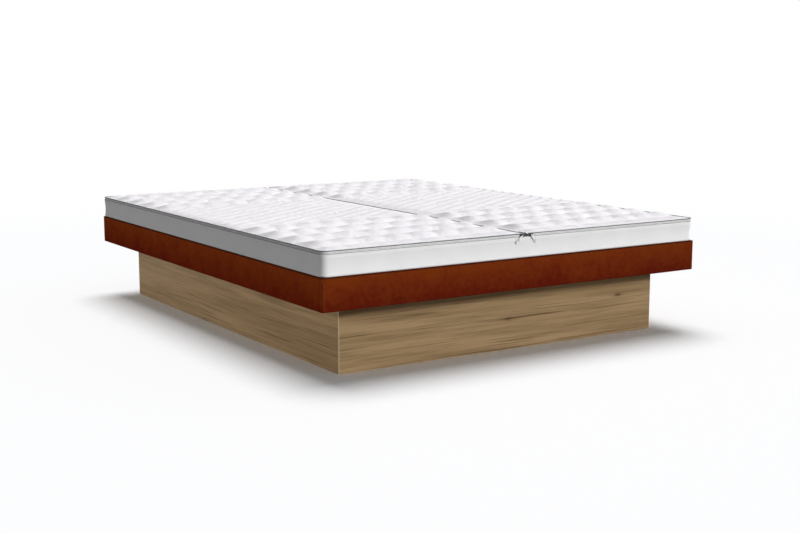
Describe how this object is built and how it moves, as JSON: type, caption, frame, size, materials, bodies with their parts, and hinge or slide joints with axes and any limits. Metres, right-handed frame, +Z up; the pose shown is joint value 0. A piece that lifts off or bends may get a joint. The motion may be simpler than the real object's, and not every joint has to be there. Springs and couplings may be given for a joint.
{
  "type": "waterbed",
  "caption": "Softside double waterbed: oak-look plinth, overhanging leatherette rails, split water mattress with a plain border and zip-on quilted covers.",
  "frame": {"origin": "on the floor under the middle of the bed", "axes": "+Z up, +Y from the foot towards the head, +X across the bed to the right when facing the head"},
  "size_m": [1.8, 2.2053, 0.4895],
  "materials": {
    "oak_laminate": "satin",
    "raw_board": "matte",
    "zinc_steel": "satin",
    "screw_steel": "satin",
    "leatherette": "satin",
    "plain_cover_fabric": "matte",
    "piping": "matte",
    "quilt": "matte",
    "zip_nylon": "satin",
    "zip_metal": "gloss",
    "foam": "matte",
    "insulation": "matte",
    "heater_foil": "satin",
    "liner_vinyl": "satin",
    "bladder_vinyl": "gloss",
    "water": "gloss",
    "fibre": "matte",
    "valve_plastic": "satin",
    "black_plastic": "matte",
    "control_plastic": "satin",
    "dark_plastic": "satin"
  },
  "bodies": {
    "bed": {"border_piping": "piping", "cable_grommets": "black_plastic", "centre_foam_wall": "foam", "control_housing_left": "control_plastic", "control_housing_right": "control_plastic", "cover_base_sheet": "plain_cover_fabric", "cover_border": "plain_cover_fabric", "deck_panel_foot_left": "raw_board", "deck_panel_foot_right": "raw_board", "deck_panel_head_left": "raw_board", "deck_panel_head_right": "raw_board", "deck_screws": "screw_steel", "filling_valve_left": "valve_plastic", "filling_valve_right": "valve_plastic", "foam_frame_foot": "foam", "foam_frame_head": "foam", "foam_frame_left": "foam", "foam_frame_right": "foam", "heater_pad_left": "heater_foil", "heater_pad_right": "heater_foil", "insulation_mat": "insulation", "perimeter_zip_left": "zip_nylon", "perimeter_zip_right": "zip_nylon", "plinth_corner_brackets": "zinc_steel", "plinth_cross_dividers": "raw_board", "plinth_foot_board": "oak_laminate", "plinth_head_board": "oak_laminate", "plinth_long_divider": "raw_board", "plinth_side_left": "oak_laminate", "plinth_side_right": "oak_laminate", "rail_cores": "raw_board", "rail_fixing_plates": "zinc_steel", "rail_leatherette_foot": "leatherette", "rail_leatherette_head": "leatherette", "rail_leatherette_left": "leatherette", "rail_leatherette_right": "leatherette", "safety_liner_left": "liner_vinyl", "safety_liner_right": "liner_vinyl", "short_screws": "screw_steel", "stabiliser_mats": "fibre", "water_bladder_left": "bladder_vinyl", "water_bladder_right": "bladder_vinyl", "water_fill_left": "water", "water_fill_right": "water"},
    "top_cover": {"top_cover_left": "quilt", "top_cover_right": "quilt", "top_piping": "piping", "centre_zip": "zip_nylon"},
    "slider_left": {"zip_slider_left": "zip_metal"},
    "slider_right": {"zip_slider_right": "zip_metal"},
    "slider_centre": {"zip_slider_centre": "zip_metal"},
    "pull_left": {"zip_pull_left": "zip_metal"},
    "pull_right": {"zip_pull_right": "zip_metal"},
    "pull_centre": {"zip_pull_centre": "zip_metal"},
    "dial_left": {"control_dial_left": "dark_plastic"},
    "dial_right": {"control_dial_right": "dark_plastic"},
    "rocker_left": {"control_rocker_left": "dark_plastic"},
    "rocker_right": {"control_rocker_right": "dark_plastic"},
    "cap_left": {"valve_cap_left": "valve_plastic"},
    "cap_right": {"valve_cap_right": "valve_plastic"}
  },
  "joints": [
    {"name": "top_cover_lift", "type": "slide", "parent": "bed", "child": "top_cover", "axis": [0, 0, 1], "range_m": [0, 0.35]},
    {"name": "slider_left_run", "type": "slide", "parent": "bed", "child": "slider_left", "axis": [-1, 0, 0], "range_m": [0, 0.8]},
    {"name": "slider_right_run", "type": "slide", "parent": "bed", "child": "slider_right", "axis": [1, 0, 0], "range_m": [0, 0.8]},
    {"name": "slider_centre_run", "type": "slide", "parent": "top_cover", "child": "slider_centre", "axis": [0, 1, 0], "range_m": [0, 2.1]},
    {"name": "pull_left_flip", "type": "hinge", "parent": "slider_left", "child": "pull_left", "pos_m": [-0.022, -1.1033, 0.4711], "axis": [-0.7071, 0, 0.7071], "range_deg": [0, 150]},
    {"name": "pull_right_flip", "type": "hinge", "parent": "slider_right", "child": "pull_right", "pos_m": [0.022, -1.1033, 0.4711], "axis": [-0.7071, 0, -0.7071], "range_deg": [0, 150]},
    {"name": "pull_centre_flip", "type": "hinge", "parent": "slider_centre", "child": "pull_centre", "pos_m": [0, -1.088, 0.47845], "axis": [1, 0, 0], "range_deg": [0, 150]},
    {"name": "dial_left_turn", "type": "hinge", "parent": "bed", "child": "dial_left", "pos_m": [-0.326, 1.023, 0.16], "axis": [0, 1, 0], "range_deg": [-135, 135]},
    {"name": "rocker_left_tip", "type": "hinge", "parent": "bed", "child": "rocker_left", "pos_m": [-0.268, 1.023, 0.16], "axis": [0, 0, 1], "range_deg": [0, 16]},
    {"name": "cap_left_unscrew", "type": "hinge", "parent": "bed", "child": "cap_left", "pos_m": [-0.4, -0.85, 0.4561], "axis": [0, 0, 1], "range_deg": [0, 720]},
    {"name": "dial_right_turn", "type": "hinge", "parent": "bed", "child": "dial_right", "pos_m": [0.274, 1.023, 0.16], "axis": [0, 1, 0], "range_deg": [-135, 135]},
    {"name": "rocker_right_tip", "type": "hinge", "parent": "bed", "child": "rocker_right", "pos_m": [0.332, 1.023, 0.16], "axis": [0, 0, 1], "range_deg": [0, 16]},
    {"name": "cap_right_unscrew", "type": "hinge", "parent": "bed", "child": "cap_right", "pos_m": [0.4, -0.85, 0.4561], "axis": [0, 0, 1], "range_deg": [0, 720]}
  ]
}
